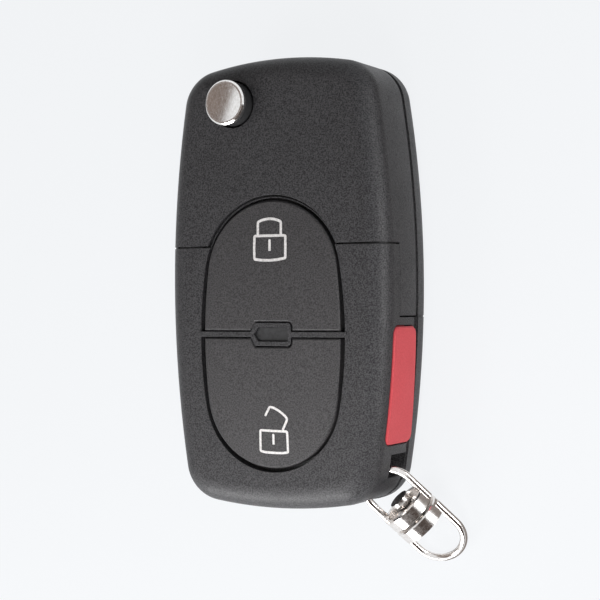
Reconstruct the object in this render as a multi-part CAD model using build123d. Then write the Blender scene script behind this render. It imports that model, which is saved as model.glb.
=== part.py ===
"""Shell of a folding car key with a remote: two face buttons, a red side button and a key-ring swivel.

The key lies on its back. The origin is the centre of the flat back face, +Z comes out of the face
buttons, +Y points to the end with the blade's hinge, and +X to the side with the red button.
The blade is folded into its slot on the -X side. All lengths are in millimetres.
"""
from build123d import *
from math import atan2, cos, degrees, radians, sin, sqrt
import os

os.makedirs("parts", exist_ok=True)

# Body: four shallow arcs with rounded corners
BODY_LENGTH = 70.5
BODY_WIDTH = 38.9
BODY_THICKNESS = 17.0
BODY_Y = -0.1
SIDE_ARC_R = 180.0
HEAD_ARC_R = 63.4
REMOTE_ARC_R = 76.2
REMOTE_ARC_X = -1.4
CORNER_R = 6.4
FRONT_EDGE_R = 3.6
BACK_EDGE_R = 3.25
WALL = 1.6
FRONT_PLATE = 1.8
BACK_PLATE = 1.8
SEAM = 0.14

# Seams between the head, which holds the blade, and the remote, which holds the buttons
SPLIT_Y = 5.75
SPLIT_GAP = 0.3
SIDE_SPLIT_Y = -5.2
SIDE_SPLIT_GAP = 0.25
HEAD_PARTING_Z = 5.1
REMOTE_PARTING_Z = 5.0
GROOVE_WIDTH = 1.1
GROOVE_BELOW = 0.5
GROOVE_DEPTH = 0.35
LIP_INSET = 0.4
LIP_REACH = 0.8
LIP_LOW_Z = 1.0
LIP_HIGH_Z = 4.6
LIP_SPAN = 5.2
LIP_CLEARANCE = 0.1
TONGUE_TOP_Z = 11.3
TONGUE_THICKNESS = 2.0
TONGUE_SIDE = 4.0
TONGUE_CLEARANCE = 0.2

# Hollows inside the head
HEAD_BAY_X = 6.0
HEAD_BAY_Y = 15.1
HEAD_BACK_BAY_X = 2.5
HEAD_TAIL_Y = 12.0
HUB_HOUSING_R = 11.5

# Oval of the two face buttons
PAD_Y = -8.05
PAD_HALF_WIDTH = 12.1
PAD_HALF_HEIGHT = 20.75
PAD_END_R = 11.55
PAD_GAP = 0.5
PAD_CROWN = 0.35
PAD_CROWN_R = 420.0
BUTTON_BEVEL = 0.25
BUTTON_FLANGE = 0.8
BUTTON_FLANGE_THICKNESS = 0.8
OPENING_X = 0.05
OPENING_Y = -0.1
OPENING_WIDEN = 0.25
COLLAR_WIDTH = 0.2
COLLAR_DROP = 0.45
COLLAR_FLANGE = 0.9
COLLAR_FLANGE_Z = 16.0
ARCH_OFFSET = 0.8
ARCH_Y = 0.1

# Bridge across the oval, with the frame of the signal light
BRIDGE_WIDTH = 0.8
BRIDGE_GAP = 0.16
BRIDGE_ROOT = 0.3
LIGHT_FRAME_WIDTH = 7.4
LIGHT_FRAME_HEIGHT = 3.55
LIGHT_FRAME_CORNER_R = 0.6
LIGHT_WINDOW_WIDTH = 6.0
LIGHT_WINDOW_HEIGHT = 2.2
LIGHT_WINDOW_CORNER_R = 0.3
LIGHT_WINDOW_X = 0.15
LIGHT_POINT = 0.32
LIGHT_RECESS = 0.5
LIGHT_CLEARANCE = 0.05

# Rubber mat and inner carrier under the buttons
MAT_THICKNESS = 0.8
MAT_MARGIN = 0.4
MAT_DOME_HEIGHT = 0.6
MAT_DOME_R = 3.2
MAT_DOME_REACH = 11.3
CARRIER_THICKNESS = 0.8
CARRIER_MARGIN = 0.6
CARRIER_CLEARANCE = 0.25
STACK_CLEARANCE = 0.1
CELL_R = 10.0
CELL_CLEARANCE = 0.2
CELL_RING = 0.9
CELL_OFF_CENTRE = 1.485
CELL_SIDE_ROOM = 1.7
CELL_Y = -17.6

# Red side button
ALARM_Y = -15.85
ALARM_LENGTH = 18.0
ALARM_FRONT_Z = 13.3
ALARM_BACK_Z = 5.2
ALARM_TAPER = 0.6
ALARM_CORNER_R = 1.25
ALARM_RELIEF = 1.35
ALARM_PROUD = 0.3
ALARM_BEVEL = 0.25
ALARM_GAP = 0.2
ALARM_FLANGE = 0.4
ALARM_FLANGE_THICKNESS = 0.8
ALARM_FLANGE_GAP = 0.1
ALARM_ROOM_X = 10.0
ALARM_ROOM_DEPTH = 3.9
ALARM_ROOM_MARGIN = 2.0

# Hinge of the blade
HINGE_FROM_SIDE = 12.77
HINGE_FROM_END = 7.12
HUB_R = 5.4
HUB_LOW_JOURNAL_R = 4.0
HUB_HIGH_JOURNAL_R = 5.0
JOURNAL_CLEARANCE = 0.05
HUB_END_PLAY = 0.1
HUB_FLOOR = 1.0
HUB_FLOOR_CLEARANCE = 0.2
HUB_TOP_CLEARANCE = 0.2
ARM_OFFSET = 6.5
ARM_WIDTH = 8.4
ARM_REACH = 13.0
ARM_LOW_Z = 5.7
ARM_HIGH_Z = 10.6
ARM_CORNER_R = 1.2
SLOT_CLEARANCE = 0.5
SLOT_WALL = 0.8

# Blade
BLADE_WIDTH = 7.6
BLADE_THICKNESS = 2.7
BLADE_Z = 8.2
BLADE_TIP_FROM_END = 4.18
BLADE_POINT = 2.4
BLADE_POINT_WIDTH = 3.2
BLADE_GROOVE_WIDTH = 2.2
BLADE_GROOVE_DEPTH = 0.6
BLADE_GROOVE_END = 4.0
TANG_WIDTH = 6.2
TANG_LENGTH = 7.4
TANG_CLEARANCE = 0.03
PIN_R = 0.8
PIN_BORE_R = 0.35
PIN_REACH = 9.3
PIN_CLEARANCE = 0.02

# Release button on the hinge
STEM_R = 3.4
STEM_HOLE_R = 3.73
STEM_FLANGE_R = 4.6
STEM_FLANGE_THICKNESS = 0.8
STEM_CHAMBER_CLEARANCE = 0.15
STEM_PIN_R = 2.2
STEM_PIN_LENGTH = 4.0
STEM_LUG_WIDTH = 1.5
STEM_LUG_LENGTH = 3.1
STEM_LUG_CLEARANCE = 0.1
CAP_R = 3.52
CAP_RISE = 2.76
CAP_THICKNESS = 0.9
CAP_BEVEL = 0.25
CAP_DISH = 0.15
RELEASE_TRAVEL = 1.8

# Spring under the release button
SPRING_R = 3.2
SPRING_WIRE_R = 0.35
SPRING_TURNS = 4
SPRING_CAVITY_R = 3.9
SPRING_END_CLEARANCE = 0.05

# Transponder plug in the head
PLUG_FROM_SIDE = 8.25
PLUG_FROM_END = 12.65
PLUG_WIDTH = 5.6
PLUG_LENGTH = 15.0
PLUG_HEIGHT = 6.4
PLUG_BORE_R = 1.6
PLUG_BORE_LENGTH = 13.0
PLUG_CLEARANCE = 0.1
PLUG_CORNER_R = 1.0
PLUG_RIB = 0.9
PLUG_RIB_LENGTH = 10.0

# Screws that hold the two halves of the head
SCREW_XS = (-4.6, 11.6)
SCREW_Y = 0.3
SCREW_R = 0.7
SCREW_LENGTH = 6.4
SCREW_HEAD_R = 1.4
SCREW_HEAD_HEIGHT = 0.9
SCREW_SLOT_WIDTH = 0.4
SCREW_SLOT_DEPTH = 0.4
SCREW_SUNK = 0.1
SCREW_CLEARANCE = 0.05
SCREW_BOSS_R = 2.0

# Corner post and the channel behind it, for the swivel
POST_FROM_SIDE = 3.41
POST_FROM_END = 2.93
POST_R = 2.4
CHANNEL_R = 6.1
CHANNEL_LOW_Z = 4.7
CHANNEL_HIGH_Z = 10.6
CHANNEL_WALL = 0.6

# Swivel: two cup-shaped links with wire bails, on one rivet
SWIVEL_HEADING = -51.2
SWIVEL_DROOP = 28.5
SWIVEL_ROLL = -5.8
SWIVEL_PIVOT_Z = 7.85
LINK_R = 4.1
LINK_HEIGHT = 2.1
LINK_WALL = 0.75
LINK_GAP = 0.36
LINK_BEVEL = 0.2
INNER_STRAIGHT = 2.9
OUTER_STRAIGHT = 2.95
BAIL_R = 4.04
WIRE_R = 0.58
RIVET_R = 1.2
RIVET_CLEARANCE = 0.05
RIVET_SHOULDER_R = 2.2
RIVET_SHOULDER_HEIGHT = 0.5
RIVET_HEAD_R = 1.64
RIVET_HEAD_RISE = 2.0
RIVET_HEAD_HEIGHT = 1.3

# Levels worked out from the sizes above
FAR = BODY_LENGTH
HEAD_END_Y = BODY_Y + BODY_LENGTH / 2
REMOTE_END_Y = BODY_Y - BODY_LENGTH / 2
HINGE_X = HINGE_FROM_SIDE - BODY_WIDTH / 2
HINGE_Y = HEAD_END_Y - HINGE_FROM_END
BLADE_TIP_Y = REMOTE_END_Y + BLADE_TIP_FROM_END
PLUG_X = BODY_WIDTH / 2 - PLUG_FROM_SIDE
PLUG_Y = HEAD_END_Y - PLUG_FROM_END
POST_X = BODY_WIDTH / 2 - POST_FROM_SIDE
POST_Y = REMOTE_END_Y + POST_FROM_END
PLATE_LOW_Z = BODY_THICKNESS - FRONT_PLATE
FLANGE_HIGH_Z = PLATE_LOW_Z - STACK_CLEARANCE
FLANGE_LOW_Z = FLANGE_HIGH_Z - BUTTON_FLANGE_THICKNESS
CARRIER_LOW_Z = TONGUE_TOP_Z + STACK_CLEARANCE
MAT_LOW_Z = CARRIER_LOW_Z + CARRIER_THICKNESS
MAT_HIGH_Z = MAT_LOW_Z + MAT_THICKNESS
BLADE_LOW_Z = BLADE_Z - BLADE_THICKNESS / 2
BLADE_HIGH_Z = BLADE_Z + BLADE_THICKNESS / 2
BLADE_SLOT_HIGH_Z = BLADE_HIGH_Z + SLOT_CLEARANCE
ARM_SLOT_HIGH_Z = ARM_HIGH_Z + SLOT_CLEARANCE
BLADE_X = HINGE_X - ARM_OFFSET
BLADE_SLOT_X = BLADE_X + BLADE_WIDTH / 2 + SLOT_CLEARANCE
BLADE_WALL_X = BLADE_SLOT_X + SLOT_WALL
CELL_X = (BLADE_WALL_X + BODY_WIDTH / 2 - WALL) / 2 - CELL_OFF_CENTRE
STEM_TOP_Z = BODY_THICKNESS + CAP_RISE - CAP_THICKNESS
STEM_FLANGE_HIGH_Z = PLATE_LOW_Z - STACK_CLEARANCE
STEM_FLANGE_LOW_Z = STEM_FLANGE_HIGH_Z - STEM_FLANGE_THICKNESS
HUB_TOP_Z = STEM_FLANGE_LOW_Z - RELEASE_TRAVEL - HUB_TOP_CLEARANCE
HUB_BOTTOM_Z = BACK_PLATE + HUB_FLOOR_CLEARANCE
SPRING_LOW_Z = HUB_BOTTOM_Z + HUB_FLOOR + SPRING_END_CLEARANCE
SPRING_HIGH_Z = STEM_FLANGE_LOW_Z - SPRING_END_CLEARANCE
SCREW_SEAT_Z = TONGUE_TOP_Z - SCREW_HEAD_HEIGHT - SCREW_SUNK
PAD_COLLAR = PAD_GAP + COLLAR_WIDTH

BASE = (Align.CENTER, Align.CENTER, Align.MIN)


def block(x0, x1, y0, y1, z0, z1):
    """Box between two opposite corners."""
    return Pos((x0 + x1) / 2, (y0 + y1) / 2, z0) * Box(x1 - x0, y1 - y0, z1 - z0, align=BASE)


def drum(x, y, radius, z0, z1):
    """Upright cylinder from z0 to z1."""
    return Pos(x, y, z0) * Cylinder(radius, z1 - z0, align=BASE)


def prism(face, z0, z1):
    """Flat face drawn at height zero, made into a wall from z0 to z1."""
    return extrude(Pos(0, 0, z0) * face, z1 - z0, dir=(0, 0, 1))


def body_face(inset=0.0):
    """Outline of the key seen from the front, moved inwards by inset."""
    side = Circle(SIDE_ARC_R - inset)
    side_x = SIDE_ARC_R - BODY_WIDTH / 2
    head_end = Pos(0, HEAD_END_Y - HEAD_ARC_R) * Circle(HEAD_ARC_R - inset)
    remote_end = Pos(REMOTE_ARC_X, REMOTE_END_Y + REMOTE_ARC_R) * Circle(REMOTE_ARC_R - inset)
    face = Pos(side_x, 0) * side & Pos(-side_x, 0) * side & head_end & remote_end
    return fillet(face.vertices(), max(CORNER_R - inset, 0.5))


def body_solid(inset=0.0):
    """Whole outer form with its front and back edges rounded, moved inwards by inset."""
    solid = prism(body_face(inset), inset, BODY_THICKNESS - inset)
    solid = fillet(solid.faces().sort_by(Axis.Z)[-1].edges(), FRONT_EDGE_R - inset)
    return fillet(solid.faces().sort_by(Axis.Z)[0].edges(), BACK_EDGE_R - inset)


def parting_groove(z):
    """Groove round the outside along the seam at height z: a ledge below, running out to nothing above."""
    low = z - GROOVE_BELOW
    height = 1.5 * GROOVE_WIDTH
    slope = degrees(atan2(GROOVE_DEPTH, GROOVE_WIDTH))
    core = extrude(Pos(0, 0, low) * body_face(GROOVE_DEPTH), height, taper=-slope)
    return prism(body_face(-2 * GROOVE_DEPTH), low, low + height) - core


def alarm_relief():
    """Groove made taller on the short stretch between the side seam and the red button."""
    band = prism(body_face(-GROOVE_DEPTH), REMOTE_PARTING_Z, REMOTE_PARTING_Z + ALARM_RELIEF)
    band -= prism(body_face(GROOVE_DEPTH), 0, FAR)
    return band & block(0, FAR, ALARM_Y + ALARM_LENGTH / 2 - ALARM_CORNER_R, SIDE_SPLIT_Y, 0, FAR)


def back_lip(margin, high):
    """Wall inside the outline that reaches from the remote's back into the head's back."""
    low_y = SIDE_SPLIT_Y - SIDE_SPLIT_GAP - LIP_REACH
    high_y = SIDE_SPLIT_Y + LIP_REACH + margin
    reach = block(BLADE_WALL_X - margin, FAR, low_y, high_y, LIP_LOW_Z - margin, high)
    return body_solid(LIP_INSET - margin) & reach


def front_lip(margin):
    """Lip over the blade's slot that reaches from the remote's front under the head's edge."""
    low_y = SPLIT_Y - SPLIT_GAP / 2 - LIP_REACH
    high_y = SPLIT_Y + SPLIT_GAP / 2 + LIP_REACH + margin
    high_x = LIP_SPAN - BODY_WIDTH / 2 + margin
    reach = block(-FAR, high_x, low_y, high_y, BLADE_SLOT_HIGH_Z - margin, FAR)
    return body_solid(LIP_INSET - margin) & reach


def pad_face(offset=0.0, widen=0.0):
    """Oval of the face buttons: two end arcs and two flatter side arcs, moved outwards by offset."""
    half_width = PAD_HALF_WIDTH + offset + widen
    end_r = PAD_END_R + offset
    end_y = PAD_HALF_HEIGHT - PAD_END_R
    side_r = (half_width ** 2 + end_y ** 2 - end_r ** 2) / (2 * (half_width - end_r))
    side_x = side_r - half_width
    touch = end_r / (side_r - end_r)
    touch_x = side_x * touch
    touch_y = end_y * (1 + touch)
    right = ThreePointArc((touch_x, -touch_y), (half_width, 0), (touch_x, touch_y))
    top = ThreePointArc((touch_x, touch_y), (0, end_y + end_r), (-touch_x, touch_y))
    left = ThreePointArc((-touch_x, touch_y), (-half_width, 0), (-touch_x, -touch_y))
    bottom = ThreePointArc((-touch_x, -touch_y), (0, -end_y - end_r), (touch_x, -touch_y))
    return Pos(0, PAD_Y) * make_face([right, top, left, bottom])


def opening_face(offset):
    """Oval of the remote's opening, a little wider than the buttons' own, moved outwards by offset."""
    return Pos(OPENING_X, OPENING_Y) * pad_face(offset, OPENING_WIDEN)


def arch_face(offset=0.0):
    """Oval that the arch in the head's cover follows, moved outwards by offset."""
    return Pos(0, ARCH_Y) * pad_face(ARCH_OFFSET + offset)


def light_face(width, height, corner_r):
    """Outline of the signal light: pointed on one side, with two rounded corners on the other."""
    cut = height * LIGHT_POINT
    x, y = width / 2, height / 2
    points = [(-x, 0), (-x + cut, y), (x, y), (x, -y), (-x + cut, -y)]
    face = make_face(Polyline(*points, close=True))
    return Pos(0, PAD_Y) * fillet(face.vertices().group_by(Axis.X)[-1], corner_r)


def light_window_face(inset=0.0):
    """Outline of the window inside the signal light's frame, moved inwards by inset."""
    width, height = LIGHT_WINDOW_WIDTH - 2 * inset, LIGHT_WINDOW_HEIGHT - 2 * inset
    return Pos(LIGHT_WINDOW_X, 0) * light_face(width, height, LIGHT_WINDOW_CORNER_R)


def bridge_face(margin=0.0):
    """Bridge across the oval with the light's frame in its middle."""
    bar = Pos(0, PAD_Y) * Rectangle(2 * (PAD_HALF_WIDTH + PAD_GAP) + 2, BRIDGE_WIDTH + 2 * margin)
    width, height = LIGHT_FRAME_WIDTH + 2 * margin, LIGHT_FRAME_HEIGHT + 2 * margin
    return bar + light_face(width, height, LIGHT_FRAME_CORNER_R + margin)


def pad_crown():
    """Large ball that gives the buttons and the bridge their slightly domed top."""
    top = BODY_THICKNESS + PAD_CROWN
    return Pos(0, PAD_Y, top - PAD_CROWN_R) * Sphere(PAD_CROWN_R)


def arm_face(margin=0.0):
    """Outline of the hub with its arm, in the folded pose, seen from the front."""
    low = -ARM_REACH - margin
    high = -HUB_R
    arm = Pos(-ARM_OFFSET, (low + high) / 2) * Rectangle(ARM_WIDTH + 2 * margin, high - low)
    arm = fillet(arm.vertices().group_by(Axis.Y)[0], ARM_CORNER_R)
    round_end = Circle(HUB_R + margin)
    return Pos(HINGE_X, HINGE_Y) * make_hull(arm.edges() + round_end.edges())


def sweep_face():
    """Space that the hub's arm passes through between the folded and the open pose."""
    margin = SLOT_CLEARANCE
    reach = sqrt((ARM_OFFSET + ARM_WIDTH / 2) ** 2 + ARM_REACH ** 2) + margin
    side = ARM_OFFSET + ARM_WIDTH / 2 + margin
    outer = Circle(reach) & Pos(-reach, 0) * Rectangle(2 * reach, 2 * reach)
    top = Circle(reach) & Pos(side / 2, reach) * Rectangle(side, 2 * (reach - HUB_R))
    hinge = Pos(HINGE_X, HINGE_Y)
    folded = arm_face(margin)
    opened = hinge * Rot(0, 0, 180) * hinge.inverse() * folded
    return hinge * (outer + top) + folded + opened


def blade_channel():
    """Slot for the folded blade, open along the whole -X side."""
    low = BLADE_TIP_Y - SLOT_CLEARANCE
    high = HINGE_Y - ARM_REACH + 1
    return block(-FAR, BLADE_SLOT_X, low, high, BLADE_LOW_Z - SLOT_CLEARANCE, BLADE_SLOT_HIGH_Z)


def swivel_channel():
    """Ring-shaped passage round the corner post, open to the side and to the end."""
    z0, z1 = CHANNEL_LOW_Z, CHANNEL_HIGH_Z
    return drum(POST_X, POST_Y, CHANNEL_R, z0, z1) - drum(POST_X, POST_Y, POST_R, z0, z1)


def swivel_walls():
    """Corner left solid round the swivel's passage."""
    return drum(POST_X, POST_Y, CHANNEL_R + CHANNEL_WALL, 0, PLATE_LOW_Z)


def alarm_prism(margin, x0, x1):
    """Outline of the red button, wider towards the swivel, grown by margin, as a block along X."""
    tail, head = -ALARM_LENGTH / 2 - margin, ALARM_LENGTH / 2 + margin
    low, high = ALARM_BACK_Z - margin, ALARM_FRONT_Z + margin
    points = [(tail, high), (head, high), (head, low + ALARM_TAPER), (tail, low - ALARM_TAPER)]
    face = make_face(Polyline(*points, close=True))
    face = fillet(face.vertices(), ALARM_CORNER_R + margin)
    plane = Plane(origin=(x0, ALARM_Y, 0), x_dir=(0, 1, 0), z_dir=(1, 0, 0))
    return extrude(plane * face, x1 - x0)


def head_back_cover():
    """Back half of the head: hub bearing, screw bosses and the plug's cradle."""
    y0 = SIDE_SPLIT_Y
    cover = body_solid() & block(-FAR, FAR, y0, FAR, 0, HEAD_PARTING_Z)
    inner = body_face(WALL)
    housing = drum(HINGE_X, HINGE_Y, HUB_HOUSING_R, BACK_PLATE, HEAD_PARTING_Z)
    room_y = y0 + LIP_REACH + WALL
    room = prism(inner, BACK_PLATE, HEAD_PARTING_Z) & block(BLADE_WALL_X, FAR, room_y, FAR, 0, FAR)
    room -= block(-FAR, HEAD_BACK_BAY_X, HEAD_TAIL_Y, FAR, 0, FAR)
    cover -= room - housing
    cover -= back_lip(LIP_CLEARANCE, HEAD_PARTING_Z)
    cover -= parting_groove(HEAD_PARTING_Z + SEAM / 2)
    boss_high = TONGUE_TOP_Z - TONGUE_THICKNESS
    for x in SCREW_XS:
        cover += drum(x, SCREW_Y, SCREW_BOSS_R, BACK_PLATE / 2, boss_high)
        cover -= drum(x, SCREW_Y, SCREW_R + SCREW_CLEARANCE, BACK_PLATE, boss_high)
    half = PLUG_WIDTH / 2 + PLUG_CLEARANCE
    for side in (-1, 1):
        rib_x = PLUG_X + side * (half + PLUG_RIB / 2)
        rib = Box(PLUG_RIB, PLUG_RIB_LENGTH, HEAD_PARTING_Z - BACK_PLATE / 2, align=BASE)
        cover += Pos(rib_x, PLUG_Y, BACK_PLATE / 2) * rib
    return cover - drum(HINGE_X, HINGE_Y, HUB_LOW_JOURNAL_R + JOURNAL_CLEARANCE, BACK_PLATE, BODY_THICKNESS)


def head_front_cover():
    """Front half of the head, with the tongue that the remote slides over."""
    z0 = HEAD_PARTING_Z + SEAM
    body = body_solid()
    cover = body & block(-FAR, FAR, SPLIT_Y + SPLIT_GAP / 2, FAR, z0, FAR)
    side_x = BODY_WIDTH / 2 - TONGUE_SIDE
    side_y = SIDE_SPLIT_Y
    cover += body & block(side_x, FAR, side_y, SPLIT_Y + 1, z0, TONGUE_TOP_Z)
    tongue_low = TONGUE_TOP_Z - TONGUE_THICKNESS
    cover += block(BLADE_WALL_X + TONGUE_CLEARANCE, side_x + 1, side_y, SPLIT_Y + 1, tongue_low, TONGUE_TOP_Z)
    inner = body_face(WALL)
    bay = prism(inner, 0, PLATE_LOW_Z) & block(HEAD_BAY_X, FAR, HEAD_BAY_Y, FAR, 0, FAR)
    cover -= bay
    low_bay = prism(inner, 0, tongue_low) & block(BLADE_WALL_X + 1, FAR, side_y - 1, HEAD_BAY_Y + 1, 0, FAR)
    cover -= low_bay
    cover -= prism(sweep_face(), 0, ARM_SLOT_HIGH_Z)
    cover -= blade_channel()
    cover -= front_lip(LIP_CLEARANCE)
    cover -= prism(arch_face(), TONGUE_TOP_Z, FAR)
    cover -= prism(arch_face(COLLAR_FLANGE), TONGUE_TOP_Z, COLLAR_FLANGE_Z + STACK_CLEARANCE)
    cover -= parting_groove(HEAD_PARTING_Z + SEAM / 2)
    for x in SCREW_XS:
        cover -= drum(x, SCREW_Y, SCREW_R + SCREW_CLEARANCE, 0, FAR)
        cover -= drum(x, SCREW_Y, SCREW_HEAD_R + SCREW_CLEARANCE, SCREW_SEAT_Z, FAR)
    cover -= drum(HINGE_X, HINGE_Y, HUB_HIGH_JOURNAL_R + JOURNAL_CLEARANCE, 0, HUB_TOP_Z + HUB_END_PLAY)
    cover -= drum(HINGE_X, HINGE_Y, STEM_FLANGE_R + STEM_CHAMBER_CLEARANCE, 0, PLATE_LOW_Z)
    return cover - drum(HINGE_X, HINGE_Y, STEM_HOLE_R, 0, FAR)


def remote_front_cover():
    """Front of the remote: opening for the oval, bridge, collar, side opening and corner post."""
    z0 = REMOTE_PARTING_Z + SEAM
    cover = body_solid() & block(-FAR, FAR, -FAR, SPLIT_Y - SPLIT_GAP / 2, z0, FAR)
    inner = body_face(WALL)
    ceiling = CARRIER_LOW_Z
    walls = swivel_walls()
    cover -= prism(inner, ceiling, PLATE_LOW_Z) - walls
    low_room = prism(inner, 0, ceiling) & block(BLADE_WALL_X, FAR, -FAR, FAR, 0, ceiling)
    cover -= low_room - walls
    cover -= block(BLADE_WALL_X, FAR, SIDE_SPLIT_Y - SIDE_SPLIT_GAP, FAR, 0, TONGUE_TOP_Z + SEAM)
    cover -= blade_channel()
    cover += front_lip(0)
    cover -= swivel_channel()
    crown = pad_crown()
    collar = prism(opening_face(PAD_COLLAR), PLATE_LOW_Z, BODY_THICKNESS - COLLAR_DROP)
    collar += prism(opening_face(PAD_COLLAR + COLLAR_FLANGE), PLATE_LOW_Z, COLLAR_FLANGE_Z)
    cover += collar & block(-FAR, FAR, SPLIT_Y - 1, FAR, 0, FAR)
    cover -= prism(opening_face(PAD_GAP), MAT_HIGH_Z, FAR)
    bridge = prism(bridge_face() & opening_face(PAD_GAP + BRIDGE_ROOT), PLATE_LOW_Z, FAR) & crown
    cover += bridge - prism(light_window_face(), 0, FAR)
    cover -= parting_groove(REMOTE_PARTING_Z + SEAM / 2)
    cover -= alarm_relief()
    return cover - alarm_prism(ALARM_GAP, ALARM_ROOM_X, FAR)


def remote_back_cover():
    """Back of the remote: a shallow tray that closes the cell bay and floors the blade's slot."""
    y1 = SIDE_SPLIT_Y - SIDE_SPLIT_GAP
    cover = body_solid() & block(-FAR, FAR, -FAR, y1, 0, REMOTE_PARTING_Z)
    room = prism(body_face(WALL), BACK_PLATE, REMOTE_PARTING_Z)
    room &= block(BLADE_WALL_X, FAR, -FAR, y1 + 1, 0, REMOTE_PARTING_Z)
    cover -= room - swivel_walls()
    cover += back_lip(0, LIP_HIGH_Z)
    cover -= swivel_channel()
    cover -= parting_groove(REMOTE_PARTING_Z + SEAM / 2)
    return cover - alarm_prism(ALARM_GAP, ALARM_ROOM_X, FAR)


def face_button(side):
    """One face button: side +1 is the upper one, -1 the lower. A flange holds it under the cover."""
    y_edge = PAD_Y
    half = block(-FAR, FAR, min(y_edge, y_edge + side * FAR), max(y_edge, y_edge + side * FAR), 0, FAR)
    top = (prism(pad_face(), FLANGE_LOW_Z, FAR) & pad_crown()) & half
    top -= prism(bridge_face(BRIDGE_GAP), FLANGE_LOW_Z - 1, FAR)
    upper = top.faces().sort_by(Axis.Z)[-1]
    top = chamfer(upper.edges(), BUTTON_BEVEL)
    flange = prism(pad_face(BUTTON_FLANGE + PAD_GAP), FLANGE_LOW_Z, FLANGE_HIGH_Z) & half
    flange -= prism(bridge_face(BRIDGE_GAP), FLANGE_LOW_Z - 1, FAR)
    return top + flange


def keypad_mat():
    """Rubber mat with one dome under each face button."""
    mat = prism(pad_face(PAD_GAP + MAT_MARGIN), MAT_LOW_Z, MAT_HIGH_Z)
    for side in (-1, 1):
        y = PAD_Y + side * MAT_DOME_REACH
        dome = drum(0, y, MAT_DOME_R, MAT_LOW_Z, MAT_HIGH_Z + MAT_DOME_HEIGHT)
        mat += chamfer(dome.edges().sort_by(Axis.Z)[-1], MAT_DOME_HEIGHT / 2)
    return mat


def light_window():
    """Smoked window that passes the signal light up through the bridge."""
    return prism(light_window_face(LIGHT_CLEARANCE), MAT_HIGH_Z, BODY_THICKNESS + PAD_CROWN - LIGHT_RECESS)


def board_carrier():
    """Inner frame that backs the rubber mat and centres the round cell."""
    plate = prism(body_face(WALL + CARRIER_CLEARANCE), CARRIER_LOW_Z, MAT_LOW_Z)
    plate &= block(-FAR, FAR, -FAR, SPLIT_Y - 1, 0, FAR)
    plate += prism(pad_face(PAD_GAP + CARRIER_MARGIN), CARRIER_LOW_Z, MAT_LOW_Z)
    clear_x = BODY_WIDTH / 2 - WALL - ALARM_ROOM_DEPTH
    end = ALARM_LENGTH / 2 + ALARM_ROOM_MARGIN
    plate -= block(clear_x, FAR, ALARM_Y - end, ALARM_Y + end, 0, FAR)
    plate -= drum(POST_X, POST_Y, CHANNEL_R + CHANNEL_WALL + CARRIER_CLEARANCE, 0, FAR)
    ring_in = CELL_R + CELL_CLEARANCE
    ring = drum(CELL_X, CELL_Y, ring_in + CELL_RING, REMOTE_PARTING_Z, CARRIER_LOW_Z)
    ring -= drum(CELL_X, CELL_Y, ring_in, 0, FAR)
    ring &= prism(body_face(WALL + CELL_SIDE_ROOM), REMOTE_PARTING_Z, CARRIER_LOW_Z)
    ring &= block(BLADE_WALL_X + CARRIER_CLEARANCE, FAR, -FAR, FAR, 0, FAR)
    return plate + ring


def alarm_button():
    """Red button in the side, curved like the side, with a flange behind the wall."""
    outer = prism(body_face(-ALARM_PROUD), 0, BODY_THICKNESS)
    front = WALL + ALARM_FLANGE_GAP
    hollow = prism(body_face(front + ALARM_FLANGE_THICKNESS), 0, BODY_THICKNESS)
    button = (alarm_prism(0, ALARM_ROOM_X, FAR) & outer) - hollow
    button = chamfer(button.faces().sort_by(Axis.X)[-1].edges(), ALARM_BEVEL)
    flange = alarm_prism(ALARM_FLANGE + ALARM_GAP, ALARM_ROOM_X, FAR)
    flange &= prism(body_face(front), 0, BODY_THICKNESS)
    return button + (flange - hollow)


def blade_hub():
    """Turning hub with the arm that grips the blade's root."""
    hub = drum(HINGE_X, HINGE_Y, HUB_LOW_JOURNAL_R, HUB_BOTTOM_Z, ARM_LOW_Z)
    hub += drum(HINGE_X, HINGE_Y, HUB_R, HEAD_PARTING_Z + HUB_END_PLAY, ARM_HIGH_Z)
    hub += prism(arm_face(), ARM_LOW_Z, ARM_HIGH_Z)
    hub += drum(HINGE_X, HINGE_Y, HUB_HIGH_JOURNAL_R, ARM_HIGH_Z, HUB_TOP_Z)
    hub -= drum(HINGE_X, HINGE_Y, SPRING_CAVITY_R, HUB_BOTTOM_Z + HUB_FLOOR, FAR)
    half = STEM_LUG_WIDTH / 2 + STEM_LUG_CLEARANCE
    low = HUB_TOP_Z - STEM_LUG_LENGTH
    groove = drum(HINGE_X, HINGE_Y, STEM_FLANGE_R + STEM_LUG_CLEARANCE, low, FAR)
    hub -= groove & block(HINGE_X - half, HINGE_X + half, HINGE_Y - FAR, HINGE_Y + FAR, 0, FAR)
    y_root = HINGE_Y - ARM_REACH
    half = TANG_WIDTH / 2 + TANG_CLEARANCE
    hub -= block(BLADE_X - half, BLADE_X + half, y_root - 1, y_root + TANG_LENGTH + TANG_CLEARANCE,
                 BLADE_LOW_Z - TANG_CLEARANCE, BLADE_HIGH_Z + TANG_CLEARANCE)
    return hub - drum(BLADE_X, HINGE_Y - PIN_REACH, PIN_R + PIN_CLEARANCE, 0, FAR)


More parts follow.
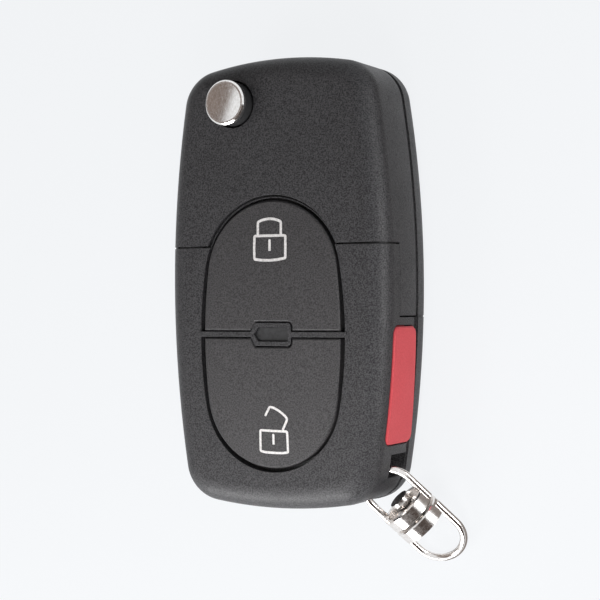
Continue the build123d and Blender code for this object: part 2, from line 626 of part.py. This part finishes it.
def key_blade():
    """Uncut steel blade with a pointed tip, a groove along each face and a narrower tang."""
    y_root = HINGE_Y - ARM_REACH - TANG_CLEARANCE
    y_tip = BLADE_TIP_Y
    half = BLADE_WIDTH / 2
    tip = BLADE_POINT_WIDTH / 2
    tang = TANG_WIDTH / 2
    points = [
        (-tang, y_root + TANG_LENGTH), (tang, y_root + TANG_LENGTH), (tang, y_root), (half, y_root),
        (half, y_tip + BLADE_POINT), (tip, y_tip), (-tip, y_tip), (-half, y_tip + BLADE_POINT),
        (-half, y_root), (-tang, y_root),
    ]
    blade = prism(Pos(BLADE_X, 0) * make_face(Polyline(*points, close=True)), BLADE_LOW_Z, BLADE_HIGH_Z)
    groove = BLADE_GROOVE_WIDTH / 2
    for z0, z1 in ((0, BLADE_LOW_Z + BLADE_GROOVE_DEPTH), (BLADE_HIGH_Z - BLADE_GROOVE_DEPTH, FAR)):
        blade -= block(BLADE_X - groove, BLADE_X + groove, y_tip - 1, y_root - BLADE_GROOVE_END, z0, z1)
    return blade - drum(BLADE_X, HINGE_Y - PIN_REACH, PIN_R + PIN_CLEARANCE, 0, FAR)


def blade_pin():
    """Rolled pin through the hub's arm and the blade's tang, with its lengthwise slit."""
    x, y = BLADE_X, HINGE_Y - PIN_REACH
    pin = drum(x, y, PIN_R, ARM_LOW_Z, ARM_HIGH_Z) - drum(x, y, PIN_BORE_R, 0, FAR)
    return pin - block(x, x + FAR, y - PIN_BORE_R / 2, y + PIN_BORE_R / 2, 0, FAR)


def release_stem():
    """Black post under the metal cap: flange, spring pin and two lugs that turn with the hub."""
    x, y = HINGE_X, HINGE_Y
    stem = drum(x, y, STEM_R, STEM_FLANGE_LOW_Z, STEM_TOP_Z)
    stem += drum(x, y, STEM_FLANGE_R, STEM_FLANGE_LOW_Z, STEM_FLANGE_HIGH_Z)
    stem += drum(x, y, STEM_PIN_R, STEM_FLANGE_LOW_Z - STEM_PIN_LENGTH, STEM_FLANGE_LOW_Z)
    lug = drum(x, y, STEM_FLANGE_R, STEM_FLANGE_LOW_Z - STEM_LUG_LENGTH, STEM_FLANGE_LOW_Z)
    lug -= drum(x, y, SPRING_R + SPRING_WIRE_R + STEM_LUG_CLEARANCE, 0, FAR)
    half = STEM_LUG_WIDTH / 2
    return stem + (lug & block(x - half, x + half, y - FAR, y + FAR, 0, FAR))


def release_cap():
    """Round metal cap with a bevelled rim and a shallow dish."""
    top = STEM_TOP_Z + CAP_THICKNESS
    cap = drum(HINGE_X, HINGE_Y, CAP_R, STEM_TOP_Z, top)
    cap = chamfer(cap.edges().sort_by(Axis.Z)[-1], CAP_BEVEL)
    dish_r = CAP_R - 2 * CAP_BEVEL
    ball_r = (dish_r ** 2 + CAP_DISH ** 2) / (2 * CAP_DISH)
    return cap - Pos(HINGE_X, HINGE_Y, top - CAP_DISH + ball_r) * Sphere(ball_r)


def flip_spring():
    """Coil that lifts the release button and turns the hub."""
    low = SPRING_LOW_Z + SPRING_WIRE_R
    high = SPRING_HIGH_Z - SPRING_WIRE_R
    path = Helix(pitch=(high - low) / SPRING_TURNS, height=high - low, radius=SPRING_R)
    start = Plane(origin=path @ 0, z_dir=path % 0)
    coil = sweep(start * Rectangle(2 * SPRING_WIRE_R, 2 * SPRING_WIRE_R), path=path, is_frenet=True)
    return Pos(HINGE_X, HINGE_Y, low) * coil


def transponder_plug():
    """Plug in the head with a bore for the glass transponder."""
    z0 = BACK_PLATE + PLUG_CLEARANCE
    half_w, half_l = PLUG_WIDTH / 2, PLUG_LENGTH / 2
    plug = block(PLUG_X - half_w, PLUG_X + half_w, PLUG_Y - half_l, PLUG_Y + half_l, z0, z0 + PLUG_HEIGHT)
    plug = fillet(plug.edges().filter_by(Axis.Z), PLUG_CORNER_R)
    bore_y = PLUG_Y - half_l + PLUG_BORE_LENGTH / 2
    bore = Pos(PLUG_X, bore_y, z0 + PLUG_HEIGHT / 2) * Rot(90, 0, 0) * Cylinder(PLUG_BORE_R, PLUG_BORE_LENGTH)
    return plug - bore


def head_screws():
    """Two small pan-head screws down through the tongue."""
    top = SCREW_SEAT_Z + SCREW_HEAD_HEIGHT
    half = SCREW_SLOT_WIDTH / 2
    screws = []
    for x in SCREW_XS:
        screw = drum(x, SCREW_Y, SCREW_R, SCREW_SEAT_Z - SCREW_LENGTH, SCREW_SEAT_Z)
        screw += drum(x, SCREW_Y, SCREW_HEAD_R, SCREW_SEAT_Z, top)
        for across, along in ((SCREW_R, half), (half, SCREW_R)):
            y0, y1 = SCREW_Y - along, SCREW_Y + along
            screw -= block(x - across, x + across, y0, y1, top - SCREW_SLOT_DEPTH, FAR)
        screws.append(screw)
    return Compound(children=screws)


def swivel_frame(side):
    """Plane on the seam between the links: its Z runs along the swivel, to the post for +1."""
    heading, droop, roll = radians(SWIVEL_HEADING), radians(SWIVEL_DROOP), radians(SWIVEL_ROLL)
    along = Vector(cos(heading) * cos(droop), sin(heading) * cos(droop), -sin(droop))
    level = Vector(-sin(heading), cos(heading), 0)
    across = level * cos(roll) + level.cross(along) * sin(roll)
    reach = INNER_STRAIGHT + LINK_HEIGHT + LINK_GAP / 2
    centre = Vector(POST_X, POST_Y, SWIVEL_PIVOT_Z) + along * reach
    return Plane(origin=centre, x_dir=across, z_dir=along * -side)


def swivel_link(straight):
    """Cup with a wire bail, standing on its closed side at height LINK_GAP / 2."""
    z0 = LINK_GAP / 2
    rim = z0 + LINK_HEIGHT
    cup = drum(0, 0, LINK_R, z0, rim)
    cup = chamfer(cup.edges().sort_by(Axis.Z)[0], LINK_BEVEL)
    cup -= drum(0, 0, LINK_R - LINK_WALL, z0 + LINK_WALL, rim)
    high = rim + straight
    low = z0 + WIRE_R
    legs = Line((BAIL_R, 0, low), (BAIL_R, 0, high))
    arc = ThreePointArc((BAIL_R, 0, high), (0, 0, high + BAIL_R), (-BAIL_R, 0, high))
    back = Line((-BAIL_R, 0, high), (-BAIL_R, 0, low))
    path = Wire(legs.edges() + arc.edges() + back.edges())
    bail = sweep(Pos(BAIL_R, 0, low) * Circle(WIRE_R), path=path)
    return cup + bail - drum(0, 0, RIVET_R + RIVET_CLEARANCE, 0, z0 + LINK_WALL)


def swivel_inner_link():
    """Link whose bail runs behind the corner post."""
    return swivel_frame(1).location * swivel_link(INNER_STRAIGHT)


def swivel_outer_link():
    """Link that turns on the rivet and carries the key ring."""
    return swivel_frame(-1).location * swivel_link(OUTER_STRAIGHT)


def swivel_rivet():
    """Rivet through both cups: a tall round head in the inner cup, a flat one in the outer."""
    low = LINK_GAP / 2 + LINK_WALL + RIVET_CLEARANCE
    shoulder = low + RIVET_SHOULDER_HEIGHT
    high = shoulder + RIVET_HEAD_RISE
    rivet = drum(0, 0, RIVET_R, -low, high)
    rivet += drum(0, 0, RIVET_SHOULDER_R, low, shoulder)
    rivet += drum(0, 0, RIVET_SHOULDER_R, -shoulder, -low)
    rivet += drum(0, 0, RIVET_HEAD_R, high - RIVET_HEAD_HEIGHT, high)
    return swivel_frame(1).location * rivet


PARTS = {
    "head_front_cover": head_front_cover,
    "head_back_cover": head_back_cover,
    "remote_front_cover": remote_front_cover,
    "remote_back_cover": remote_back_cover,
    "lock_button": lambda: face_button(1),
    "unlock_button": lambda: face_button(-1),
    "keypad_mat": keypad_mat,
    "light_window": light_window,
    "board_carrier": board_carrier,
    "alarm_button": alarm_button,
    "blade_hub": blade_hub,
    "key_blade": key_blade,
    "blade_pin": blade_pin,
    "release_stem": release_stem,
    "release_cap": release_cap,
    "flip_spring": flip_spring,
    "transponder_plug": transponder_plug,
    "head_screws": head_screws,
    "swivel_inner_link": swivel_inner_link,
    "swivel_rivet": swivel_rivet,
    "swivel_outer_link": swivel_outer_link,
}

for name, build in PARTS.items():
    export_step(build(), f"parts/{name}.step")
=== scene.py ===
"""Looks of the flip key remote shell: materials, printed signs, studio light and the photograph's camera."""

import bmesh
import bpy
from mathutils import Matrix, Vector


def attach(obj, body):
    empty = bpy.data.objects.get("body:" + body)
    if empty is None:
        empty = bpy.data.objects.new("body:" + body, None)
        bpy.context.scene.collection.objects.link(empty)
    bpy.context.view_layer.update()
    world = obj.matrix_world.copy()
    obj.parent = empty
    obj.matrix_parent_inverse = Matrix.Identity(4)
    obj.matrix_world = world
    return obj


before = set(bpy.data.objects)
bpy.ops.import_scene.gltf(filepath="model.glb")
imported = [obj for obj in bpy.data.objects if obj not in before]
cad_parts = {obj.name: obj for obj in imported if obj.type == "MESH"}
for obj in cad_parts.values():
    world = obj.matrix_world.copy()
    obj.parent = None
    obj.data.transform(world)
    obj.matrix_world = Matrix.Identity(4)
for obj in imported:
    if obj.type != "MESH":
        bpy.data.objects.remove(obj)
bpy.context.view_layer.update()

MM = 0.001

# Camera of the photograph: its axes as rows (right, up, backward), place, lens and sensor in millimetres
CAMERA_AXES = (
    (0.8745, -0.0042, -0.4850),
    (0.0062, 1.0000, 0.0025),
    (0.4850, -0.0052, 0.8745),
)
CAMERA_PLACE = (0.11531, -0.00394, 0.21556)
CAMERA_LENS = 89.0
CAMERA_SENSOR = 36.0
CAMERA_NEAR = 0.01

# Lamps: place and size in metres, power in watts, whether metal shows them, and the point they all face
LAMPS = {
    "low_light": ((-0.06, -0.17, 0.075), (0.16, 0.06), 0.3, True),
    "left_light": ((-0.12, -0.12, 0.22), (0.08, 0.06), 0.15, True),
    "right_light": ((0.04, -0.06, 0.1), (0.05, 0.05), 0.075, False),
    "edge_light": ((0.13, 0.0, 0.032), (0.1, 0.016), 0.065, True),
}
LAMP_AIM = (0.0, -0.01, 0.01)

# Dark cards that only reflections see: place, the point they face, size in metres, darkest and palest colour
CARDS = {
    "card_left": ((-0.407, 0.235, 0.171), (0.0, 0.0, 0.0), (0.9, 0.26),
                  (0.2, 0.17, 0.155), (0.33, 0.29, 0.27)),
    "card_front": ((0.33, -0.32, 0.27), (0.02, -0.04, 0.0), (0.72, 0.3),
                   (0.02, 0.015, 0.014), (0.13, 0.1, 0.085)),
    "card_above": ((-0.114, 0.078, 0.504), (-0.007, 0.028, 0.018), (0.6, 0.404),
                   (0.16, 0.13, 0.115), (0.27, 0.22, 0.195)),
    "card_right": ((0.077, 0.0, 0.0006), (0.077, 0.0, 1.0), (0.11, 0.11),
                   (0.17, 0.152, 0.142), (0.33, 0.3, 0.285)),
}
CARD_CELLS = 7.0

# Floor and surroundings: the floor's glow and the world at full strength show only where they are seen,
# in gloss or through glass, and WORLD_LIGHT is the world's strength as light
FLOOR_SIZE = 3.0
FLOOR_DROP = 0.0001
FLOOR_COLOR = (0.86, 0.87, 0.885)
FLOOR_GLOW = (0.908, 0.924, 0.943)
GLOW_SHARE = 0.93
SKY_COLOR = (0.905, 0.92, 0.938)
WORLD_LIGHT = 0.22

# Grain of the materials: detail of fine noise, cells per metre of broad noise, the stretch of the noise that
# the colours go over, strengths of the bumps, and the roughness of a metal's lines as shares of its own
FINE_DETAIL = 3.0
FINE_ROUGHNESS = 0.6
BROAD_CELLS = 160.0
NOISE_RANGE = (0.3, 0.7)
GRAIN_RANGE = (0.36, 0.62)
WHOLE_RANGE = (0.0, 1.0)
FINE_BUMP = 0.7
BROAD_BUMP = 0.2
METAL_BUMP = 0.3
METAL_SPREAD = (0.8, 1.25)
EDGE_SAMPLES = 4

# Face buttons: the ball that their tops lie on, in millimetres
PAD_Y = -8.05
PAD_TOP = 17.35
PAD_BALL_R = 420.0

# Printed signs, in millimetres: width of the strokes, height over the button, and how much lower each next
# stroke lies, so that crossing strokes share no surface
LOCK_WIDTH = 0.42
UNLOCK_WIDTH = 0.37
SIGN_RISE = 0.03
STROKE_STEP = 0.003

# Corners of a stroke are cut back twice, by a length but by no more than a share of the side, and the added
# end points reach out and narrow by shares of half the width
CORNER_PASSES = 2
CORNER_CUT = 0.11
LARGEST_CUT = 0.25
END_REACH = 0.8
END_WIDTH = 0.6

# Strokes of the signs: whether each is closed, and its points in millimetres
LOCK_SIGN = (
    (True, ((-2.82, 7.25), (-0.05, 7.23), (2.69, 7.22), (2.72, 5.51), (2.74, 3.72), (1.18, 3.48),
            (-0.12, 3.41), (-1.56, 3.46), (-2.8, 3.62), (-2.85, 5.41))),
    (False, ((-2.23, 7.3), (-2.24, 9.4), (-1.53, 9.68), (-0.7, 9.84), (-0.02, 9.87), (0.8, 9.76),
             (1.48, 9.54), (1.86, 9.35), (1.89, 7.3))),
    (False, ((-0.1, 6.5), (-0.08, 4.87))),
)
UNLOCK_SIGN = (
    (True, ((-1.9, -22.92), (0.39, -22.96), (2.87, -22.97), (2.92, -24.57), (2.95, -26.2), (1.98, -26.32),
            (0.82, -26.36), (-1.08, -26.31), (-1.93, -26.15), (-1.91, -24.52))),
    (False, ((-0.91, -20.56), (-0.13, -19.24), (0.56, -19.38), (1.28, -19.7), (2.0, -20.15), (2.58, -20.6),
             (2.92, -21.0), (2.8, -21.4), (2.1, -22.75))),
    (False, ((0.41, -23.57), (0.43, -25.08))),
)

# Slits between head and remote, in millimetres: middle in y and thickness of the strips in them
BACK_SLIT = (-5.325, 0.24)
FRONT_SLIT = (5.75, 0.28)

# Outlines of the strips as x and z in millimetres, just below the covers' surface and back on the inside
LOWER_CORNER = (
    (16.3, 0.06), (17.3, 0.35), (18.0, 0.75), (18.5, 1.2), (18.9, 1.75), (19.13, 2.4), (19.24, 3.2),
)
BACK_OUTLINE = (
    *LOWER_CORNER,
    (19.24, 4.5), (18.97, 4.5), (18.97, 3.2), (18.86, 2.4), (18.6, 1.75), (18.25, 1.3), (17.9, 0.95),
    (-8.9, 0.95), (-8.9, 4.2), (-19.24, 4.2),
    *((-x, z) for x, z in reversed(LOWER_CORNER)),
)
LEFT_OUTLINE = (
    (-19.24, 10.2), (-19.24, 13.4), (-19.08, 14.4), (-18.78, 15.1), (-18.28, 15.75), (-17.58, 16.25),
    (-17.35, 16.0), (-18.05, 15.5), (-18.53, 14.9), (-18.82, 14.25), (-18.97, 13.4), (-18.97, 10.2),
)
LEFT_FACE_OUTLINE = ((-14.2, 15.6), (-14.2, 16.6), (-12.6, 16.65), (-12.6, 15.6))
RIGHT_OUTLINE = (
    (18.9, 11.6), (18.9, 13.3), (18.7, 14.2), (18.35, 14.85), (17.85, 15.4), (17.15, 15.85), (16.4, 16.15),
    (15.5, 16.35), (12.6, 16.45), (12.6, 15.6), (15.5, 15.5), (16.9, 14.9), (17.8, 13.9), (18.1, 13.0),
    (18.1, 11.6),
)
# Dark strips in the slits: their dark plastic is painted shade for the shade inside the slits
SEAM_SHADE_STRIPS = (
    (BACK_SLIT, BACK_OUTLINE),
    (FRONT_SLIT, LEFT_OUTLINE),
    (FRONT_SLIT, LEFT_FACE_OUTLINE),
    (FRONT_SLIT, RIGHT_OUTLINE),
)


def shader_of(mat):
    """The material's main shader."""
    return mat.node_tree.nodes["Principled BSDF"]


def plain(name, color, rough, metal=0.0, **more):
    """New material with its shader's own sockets set."""
    mat = bpy.data.materials.new(name)
    mat.use_nodes = True
    inputs = shader_of(mat).inputs
    inputs["Base Color"].default_value = (*color, 1.0)
    inputs["Roughness"].default_value = rough
    inputs["Metallic"].default_value = metal
    for socket, value in more.items():
        inputs[socket.replace("_", " ")].default_value = value
    return mat


def node(mat, kind, **values):
    """New node with its properties or input sockets set by name."""
    made = mat.node_tree.nodes.new(kind)
    for key, value in values.items():
        if hasattr(made, key):
            setattr(made, key, value)
        else:
            made.inputs[key.replace("_", " ")].default_value = value
    return made


def join(mat, out_socket, in_socket):
    """Links an output socket to an input socket."""
    mat.node_tree.links.new(out_socket, in_socket)


def noise(mat, scale, detail=2.0, roughness=0.5, stretch=(1.0, 1.0, 1.0)):
    """Noise over the object's own coordinates, in cells per metre."""
    coords = node(mat, "ShaderNodeTexCoord")
    mapping = node(mat, "ShaderNodeMapping")
    mapping.inputs["Scale"].default_value = stretch
    join(mat, coords.outputs["Object"], mapping.inputs["Vector"])
    tex = node(mat, "ShaderNodeTexNoise", Scale=scale, Detail=detail, Roughness=roughness)
    join(mat, mapping.outputs["Vector"], tex.inputs["Vector"])
    return tex.outputs["Fac"]


def spread(mat, fac, low, high, at=NOISE_RANGE):
    """Colours from low to high as fac goes over the range at."""
    ramp = node(mat, "ShaderNodeValToRGB")
    for stop, place, color in zip(ramp.color_ramp.elements, at, (low, high)):
        stop.position = place
        stop.color = (*color, 1.0)
    join(mat, fac, ramp.inputs["Fac"])
    return ramp.outputs["Color"]


def level(mat, fac, low, high, at=NOISE_RANGE):
    """A number from low to high as fac goes over the range at."""
    made = node(mat, "ShaderNodeMapRange")
    for socket, value in zip(("From Min", "From Max", "To Min", "To Max"), (*at, low, high)):
        made.inputs[socket].default_value = value
    join(mat, fac, made.inputs["Value"])
    return made.outputs["Result"]


def seen_or_reflected(mat):
    """1 for rays from the camera, off gloss or through glass, else 0, in a material or the world."""
    path = node(mat, "ShaderNodeLightPath")
    found = path.outputs["Is Camera Ray"]
    for key in ("Is Glossy Ray", "Is Transmission Ray"):
        larger = node(mat, "ShaderNodeMath", operation="MAXIMUM")
        join(mat, found, larger.inputs[0])
        join(mat, path.outputs[key], larger.inputs[1])
        found = larger.outputs[0]
    return found


def bump(mat, heights, edge=0.0):
    """Stacks bumps on the shader's normal: each is (height, strength, distance in metres).

    Sharp edges first get a soft rounding of the given radius in millimetres.
    """
    normal = None
    if edge:
        normal = node(mat, "ShaderNodeBevel", samples=EDGE_SAMPLES, Radius=edge * MM).outputs["Normal"]
    for height, strength, distance in heights:
        made = node(mat, "ShaderNodeBump", Strength=strength, Distance=distance)
        join(mat, height, made.inputs["Height"])
        if normal:
            join(mat, normal, made.inputs["Normal"])
        normal = made.outputs["Normal"]
    join(mat, normal, shader_of(mat).inputs["Normal"])


def moulded(name, dark, light, rough, grain, depth, more_rough=0.08, edge=0.12, gloss=0.35):
    """Moulded plastic or rubber with a spark-eroded grain: cell size, depth and edge in millimetres."""
    mat = plain(name, light, rough, Specular_IOR_Level=gloss)
    shader = shader_of(mat)
    fine = noise(mat, 1 / (grain * MM), FINE_DETAIL, FINE_ROUGHNESS)
    broad = noise(mat, BROAD_CELLS)
    join(mat, spread(mat, fine, dark, light, GRAIN_RANGE), shader.inputs["Base Color"])
    join(mat, level(mat, broad, rough, rough + more_rough), shader.inputs["Roughness"])
    bump(mat, ((fine, FINE_BUMP, depth * MM), (broad, BROAD_BUMP, depth * MM)), edge)
    return mat


def metal(name, dark, light, rough, cells, stretch=(1.0, 1.0, 1.0), depth=0.004, edge=0.0):
    """Metal with a fine uneven polish or drawn lines: cells per metre, depth and edge in millimetres."""
    mat = plain(name, light, rough, 1.0)
    shader = shader_of(mat)
    lines = noise(mat, cells, FINE_DETAIL, FINE_ROUGHNESS, stretch)
    smoothest, roughest = METAL_SPREAD
    join(mat, spread(mat, lines, dark, light), shader.inputs["Base Color"])
    join(mat, level(mat, lines, rough * smoothest, rough * roughest), shader.inputs["Roughness"])
    bump(mat, ((lines, METAL_BUMP, depth * MM),), edge)
    return mat


def dim(name, dark, light):
    """Unevenly dim surface for a card."""
    mat = plain(name, (0.0, 0.0, 0.0), 1.0, Specular_IOR_Level=0.0, Emission_Strength=1.0)
    patches = noise(mat, CARD_CELLS)
    join(mat, spread(mat, patches, dark, light), shader_of(mat).inputs["Emission Color"])
    return mat


def dress(mat, *names):
    """Gives CAD nodes their material."""
    for name in names:
        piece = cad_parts[name]
        piece.data.materials.clear()
        piece.data.materials.append(mat)


def pad_height(x, y):
    """Height of the face buttons' top over a point, in millimetres."""
    return PAD_TOP - (x * x + (y - PAD_Y) ** 2) / (2 * PAD_BALL_R)


def smooth_stroke(points, closed):
    """Corners of a stroke cut back so that they are round."""
    pts = [Vector(p) for p in points]
    for _ in range(CORNER_PASSES):
        out = []
        count = len(pts)
        for i in range(count if closed else count - 1):
            a, b = pts[i], pts[(i + 1) % count]
            cut = min(LARGEST_CUT, CORNER_CUT / (b - a).length)
            out += [a.lerp(b, cut), a.lerp(b, 1 - cut)]
        if not closed:
            out = [pts[0]] + out[1:-1] + [pts[-1]]
        pts = out
    return pts


def stroke_sides(pts, closed, half):
    """Left and right points of a ribbon along a stroke.

    An open stroke gets a rounded start. At its far end the added points take their width from the point
    before the last, so they lie back inside the ribbon and the end stays square.
    """
    count = len(pts)
    left, right = [], []
    for i, p in enumerate(pts):
        before = pts[i - 1] if closed or i else p
        after = pts[(i + 1) % count] if closed or i < count - 1 else p
        way = (after - before).normalized()
        side = Vector((-way.y, way.x)) * half
        left.append(p + side)
        right.append(p - side)
    if not closed:
        for end, inner, place in ((0, 1, 0), (count - 1, count - 2, count + 1)):
            way = (pts[end] - pts[inner]).normalized()
            for row in (left, right):
                row.insert(place, pts[end] + way * half * END_REACH + (row[end] - pts[end]) * END_WIDTH)
    return left, right


def add_stroke(mesh, points, closed, half, rise):
    """Flat ribbon of print along a stroke, on the buttons' domed top."""
    tops, lows = [], []
    for pair in zip(*stroke_sides(smooth_stroke(points, closed), closed, half)):
        for row, lift in ((tops, rise), (lows, -rise)):
            row.append([
                mesh.verts.new((p.x * MM, p.y * MM, (pad_height(p.x, p.y) + lift) * MM))
                for p in pair
            ])
    total = len(tops)
    for i in range(total if closed else total - 1):
        j = (i + 1) % total
        mesh.faces.new((tops[i][0], tops[i][1], tops[j][1], tops[j][0]))
        mesh.faces.new((lows[i][1], lows[i][0], lows[j][0], lows[j][1]))
        mesh.faces.new((tops[i][0], tops[j][0], lows[j][0], lows[i][0]))
        mesh.faces.new((tops[j][1], tops[i][1], lows[i][1], lows[j][1]))
    if not closed:
        for i, a, b in ((0, 0, 1), (total - 1, 1, 0)):
            mesh.faces.new((tops[i][b], tops[i][a], lows[i][a], lows[i][b]))


def added(name, mesh, mat, body):
    """New piece of the object from a mesh, on a body and with a finish."""
    bmesh.ops.recalc_face_normals(mesh, faces=mesh.faces)
    data = bpy.data.meshes.new(name)
    mesh.to_mesh(data)
    mesh.free()
    data.materials.append(mat)
    piece = bpy.data.objects.new(name, data)
    bpy.context.scene.collection.objects.link(piece)
    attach(piece, body)


def sign(name, strokes, width, body, mat):
    """Printed sign on a face button."""
    mesh = bmesh.new()
    for number, (closed, points) in enumerate(strokes):
        add_stroke(mesh, points, closed, width / 2, SIGN_RISE - STROKE_STEP * number)
    added(name, mesh, mat, body)


def seam_shade_strips(name, strips, mat):
    """Thin upright strips in the slits, just below the covers' surface; their dark finish is painted shade
    inside the slits.
    """
    mesh = bmesh.new()
    caps = []
    for (y, thickness), outline in strips:
        near, far = [
            [mesh.verts.new((x * MM, (y + side * thickness / 2) * MM, z * MM)) for x, z in outline]
            for side in (-1, 1)
        ]
        caps += [mesh.faces.new(near), mesh.faces.new(far[::-1])]
        for i in range(len(outline)):
            mesh.faces.new((near[i - 1], far[i - 1], far[i], near[i]))
    bmesh.ops.triangulate(mesh, faces=caps)
    added(name, mesh, mat, "casing")


def facing(name, data, place, aim):
    """New object at a place, turned to face a point."""
    made = bpy.data.objects.new(name, data)
    bpy.context.scene.collection.objects.link(made)
    made.location = place
    made.rotation_euler = (Vector(aim) - Vector(place)).to_track_quat("-Z", "Y").to_euler()
    return made


def card(name, place, aim, size, mat, reflected_only=False):
    """Flat studio card, or one that shows only in what reflects it."""
    data = bpy.data.meshes.new(name)
    w, h = size[0] / 2, size[1] / 2
    data.from_pydata([(-w, -h, 0), (w, -h, 0), (w, h, 0), (-w, h, 0)], [], [(0, 1, 2, 3)])
    data.materials.append(mat)
    made = facing(name, data, place, aim)
    if reflected_only:
        made.visible_camera = False
        made.visible_diffuse = False
        made.visible_shadow = False


def lamp(name, place, size, power, shown):
    """Rectangular soft light, out of sight, and out of reflections unless it is to be shown there."""
    data = bpy.data.lights.new(name, "AREA")
    data.shape = "RECTANGLE"
    data.size, data.size_y = size
    data.energy = power
    made = facing(name, data, place, LAMP_AIM)
    made.visible_camera = False
    made.visible_glossy = shown


# Materials of the object
cover = moulded("cover_black", (0.006, 0.006, 0.007), (0.063, 0.061, 0.064), 0.42, 0.22, 0.07)
pad = moulded("button_black", (0.022, 0.021, 0.022), (0.068, 0.065, 0.067), 0.45, 0.22, 0.035)
red = moulded("alarm_red", (0.49, 0.052, 0.062), (0.56, 0.066, 0.078), 0.55, 0.25, 0.012)
inner = moulded("inner_plastic", (0.07, 0.07, 0.073), (0.11, 0.11, 0.115), 0.5, 0.5, 0.01)
mat_rubber = moulded("mat_rubber", (0.11, 0.11, 0.115), (0.16, 0.16, 0.165), 0.65, 0.4, 0.01)
window = moulded("smoked_window", (0.035, 0.035, 0.036), (0.05, 0.05, 0.052), 0.35, 0.6, 0.006)
stem_black = moulded("stem_black", (0.02, 0.02, 0.021), (0.035, 0.035, 0.036), 0.4, 0.3, 0.008)
blade_steel = metal("blade_steel", (0.5, 0.5, 0.49), (0.66, 0.66, 0.65), 0.28, 900.0, (6.0, 0.3, 6.0))
hub_metal = metal("hub_metal", (0.2, 0.2, 0.205), (0.34, 0.34, 0.35), 0.5, 2500.0)
cap_metal = metal("cap_metal", (0.8, 0.775, 0.75), (0.99, 0.98, 0.97), 0.15, 4200.0, (1.0, 0.5, 1.0),
                  depth=0.0003, edge=0.1)
chrome = metal("swivel_chrome", (0.76, 0.72, 0.69), (0.92, 0.895, 0.875), 0.16, 1500.0, depth=0.003)
spring_steel = metal("spring_steel", (0.42, 0.42, 0.42), (0.56, 0.56, 0.56), 0.3, 2500.0)
print_grey = moulded("sign_print", (0.58, 0.56, 0.55), (0.8, 0.77, 0.76), 0.6, 0.3, 0.004, edge=0.0)

dress(cover, "head_front_cover", "head_back_cover", "remote_front_cover", "remote_back_cover")
dress(pad, "lock_button", "unlock_button")
dress(red, "alarm_button")
dress(inner, "board_carrier", "transponder_plug")
dress(stem_black, "release_stem")
dress(mat_rubber, "keypad_mat")
dress(window, "light_window")
dress(blade_steel, "key_blade")
dress(hub_metal, "blade_hub")
dress(cap_metal, "release_cap")
dress(chrome, "swivel_inner_link", "swivel_outer_link", "swivel_rivet")
dress(spring_steel, "flip_spring", "head_screws", "blade_pin")

# Signs on the two face buttons
sign("lock_sign", LOCK_SIGN, LOCK_WIDTH, "lock", print_grey)
sign("unlock_sign", UNLOCK_SIGN, UNLOCK_WIDTH, "unlock", print_grey)

# Strips that keep light from shining through the slits between head and remote; their dark plastic is
# painted shade for the shade inside the slits
seam_shade_strips("seam_shade_strips", SEAM_SHADE_STRIPS, stem_black)

# Floor: pale and lit by the lamps, with a share of plain glow where it is seen or reflected
floor_mat = plain("floor_pale", FLOOR_COLOR, 0.9, Specular_IOR_Level=0.1)
glow = node(floor_mat, "ShaderNodeEmission", Color=(*FLOOR_GLOW, 1.0), Strength=1.0)
mix = node(floor_mat, "ShaderNodeMixShader")
glow_share = level(floor_mat, seen_or_reflected(floor_mat), 0.0, GLOW_SHARE, WHOLE_RANGE)
join(floor_mat, glow_share, mix.inputs["Fac"])
join(floor_mat, shader_of(floor_mat).outputs["BSDF"], mix.inputs[1])
join(floor_mat, glow.outputs["Emission"], mix.inputs[2])
join(floor_mat, mix.outputs["Shader"], floor_mat.node_tree.nodes["Material Output"].inputs["Surface"])
card("floor", (0, 0, -FLOOR_DROP), (0, 0, -1), (FLOOR_SIZE, FLOOR_SIZE), floor_mat)

# Studio: pale surroundings, full where they are seen or reflected and weaker as light
world = bpy.data.worlds.new("studio")
bpy.context.scene.world = world
world.use_nodes = True
sky = world.node_tree.nodes["Background"]
sky.inputs["Color"].default_value = (*SKY_COLOR, 1.0)
join(world, level(world, seen_or_reflected(world), WORLD_LIGHT, 1.0, WHOLE_RANGE), sky.inputs["Strength"])

# Dark cards stand in for the unlit parts of the room that the metal and the right flank show
for name, (place, aim, size, dark, light) in CARDS.items():
    card(name, place, aim, size, dim(name, dark, light), reflected_only=True)

for name, values in LAMPS.items():
    lamp(name, *values)

# Camera
camera_data = bpy.data.cameras.new("camera")
camera_data.lens = CAMERA_LENS
camera_data.sensor_width = CAMERA_SENSOR
camera_data.clip_start = CAMERA_NEAR
camera = bpy.data.objects.new("camera", camera_data)
bpy.context.scene.collection.objects.link(camera)
camera.matrix_world = Matrix.Translation(CAMERA_PLACE) @ Matrix(CAMERA_AXES).transposed().to_4x4()
bpy.context.scene.camera = camera
bpy.context.scene.view_settings.view_transform = "Standard"
